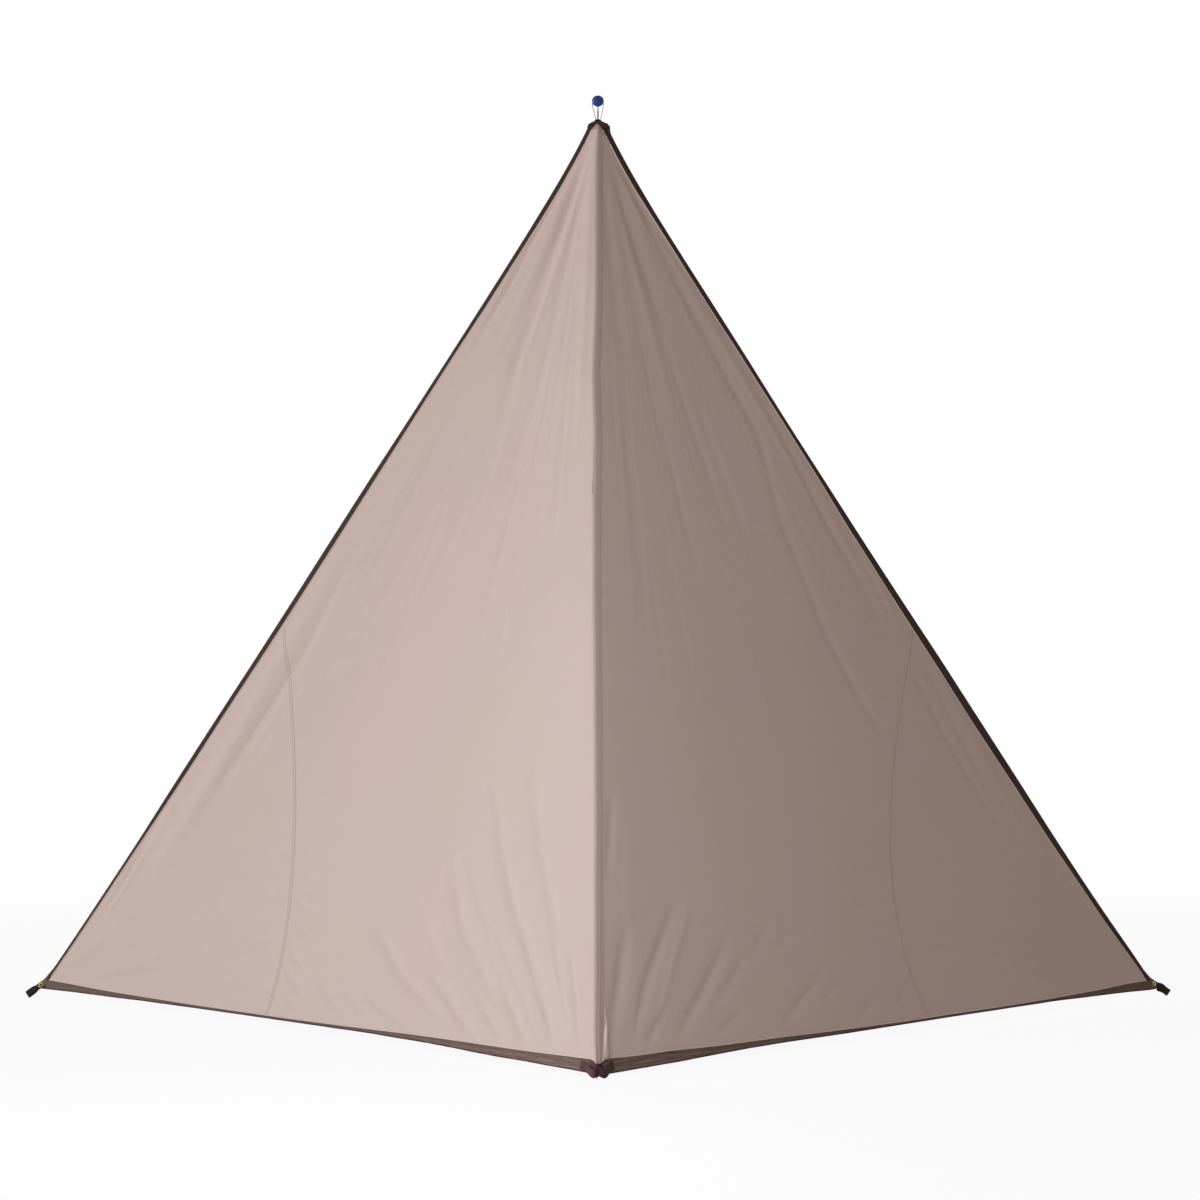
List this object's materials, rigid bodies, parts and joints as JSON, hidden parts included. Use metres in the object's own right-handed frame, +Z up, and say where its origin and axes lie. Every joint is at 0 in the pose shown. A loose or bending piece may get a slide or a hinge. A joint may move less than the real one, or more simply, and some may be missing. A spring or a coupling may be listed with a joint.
{
  "type": "camping tarp with pole",
  "caption": "Half-pyramid camping tarp pitched on an upright telescopic pole: two cloth panels meet at a front ridge, with webbing edges, a dark hem and peg loops.",
  "frame": {"origin": "centre of the underside of the pole's foot, on the ground", "axes": "+Z up along the pole; +X across to the right-hand side corner as seen from outside the ridge; +Y away from the front corner, out of the open side; -Y points to the front corner where the two hems meet"},
  "size_m": [3.239, 1.7111, 2.4774],
  "materials": {
    "beige_fabric": "matt woven polyester cloth",
    "seam_fabric": "matt cloth seam strip",
    "hem_fabric": "matt dark brown cloth",
    "dark_webbing": "ribbed dark brown webbing",
    "brass": "polished, slightly worn",
    "aluminium": "satin anodised tube",
    "steel": "plated",
    "black_plastic": "moulded, fine grain",
    "grey_plastic": "moulded, fine grain",
    "rubber": "matt rubber",
    "blue_plastic": "moulded, satin gloss",
    "pale_cord": "thin elastic cord"
  },
  "bodies": {
    "canopy_and_lower_pole": {"panel_left_main": "beige_fabric", "panel_left_corner": "beige_fabric", "left_seam_tape": "seam_fabric", "left_edge_webbing": "dark_webbing", "left_hem_band": "hem_fabric", "left_corner_patch": "dark_webbing", "left_grommet": "brass", "left_grommet_washer": "brass", "left_peg_loop": "dark_webbing", "panel_right_main": "beige_fabric", "panel_right_corner": "beige_fabric", "right_seam_tape": "seam_fabric", "right_edge_webbing": "dark_webbing", "right_hem_band": "hem_fabric", "right_corner_patch": "dark_webbing", "right_grommet": "brass", "right_grommet_washer": "brass", "right_peg_loop": "dark_webbing", "ridge_seam": "seam_fabric", "ridge_inner_tape": "dark_webbing", "front_corner_patch": "dark_webbing", "front_peg_loop": "dark_webbing", "pole_lower_tube": "aluminium", "pole_foot_cap": "rubber", "clamp_collar": "black_plastic", "clamp_bolt": "steel", "clamp_nut": "steel", "clamp_lever_pin": "steel"},
    "upper_pole": {"pole_upper_tube": "aluminium", "pole_guide_bush": "black_plastic", "pole_top_plug": "black_plastic", "pole_spike": "steel", "apex_saddle": "dark_webbing", "apex_grommet": "brass", "apex_grommet_washer": "brass", "spike_ring": "dark_webbing", "ball_cord": "pale_cord"},
    "clamp_lever": {"clamp_lever": "grey_plastic"},
    "ball_cap": {"ball_cap": "blue_plastic"}
  },
  "joints": [
    {"name": "pole_height", "type": "slide", "parent": "canopy_and_lower_pole", "child": "upper_pole", "axis": [0, 0, 1], "range_m": [-0.9, 0], "deforming": ["panel_left_main", "panel_left_corner", "left_seam_tape", "left_edge_webbing", "left_hem_band", "left_corner_patch", "left_grommet", "left_grommet_washer", "left_peg_loop", "panel_right_main", "panel_right_corner", "right_seam_tape", "right_edge_webbing", "right_hem_band", "right_corner_patch", "right_grommet", "right_grommet_washer", "right_peg_loop", "ridge_seam", "ridge_inner_tape", "front_corner_patch", "front_peg_loop"]},
    {"name": "clamp_lever_hinge", "type": "hinge", "parent": "canopy_and_lower_pole", "child": "clamp_lever", "pos_m": [0.0148, 0.029, 1.28], "axis": [0, 0, 1], "range_deg": [0, 110]},
    {"name": "ball_cap_lift", "type": "slide", "parent": "upper_pole", "child": "ball_cap", "axis": [0, 0, 1], "range_m": [0, 0.025], "stiffness_N_per_m": 40, "springref_m": -0.004, "deforming": ["ball_cord"]}
  ]
}
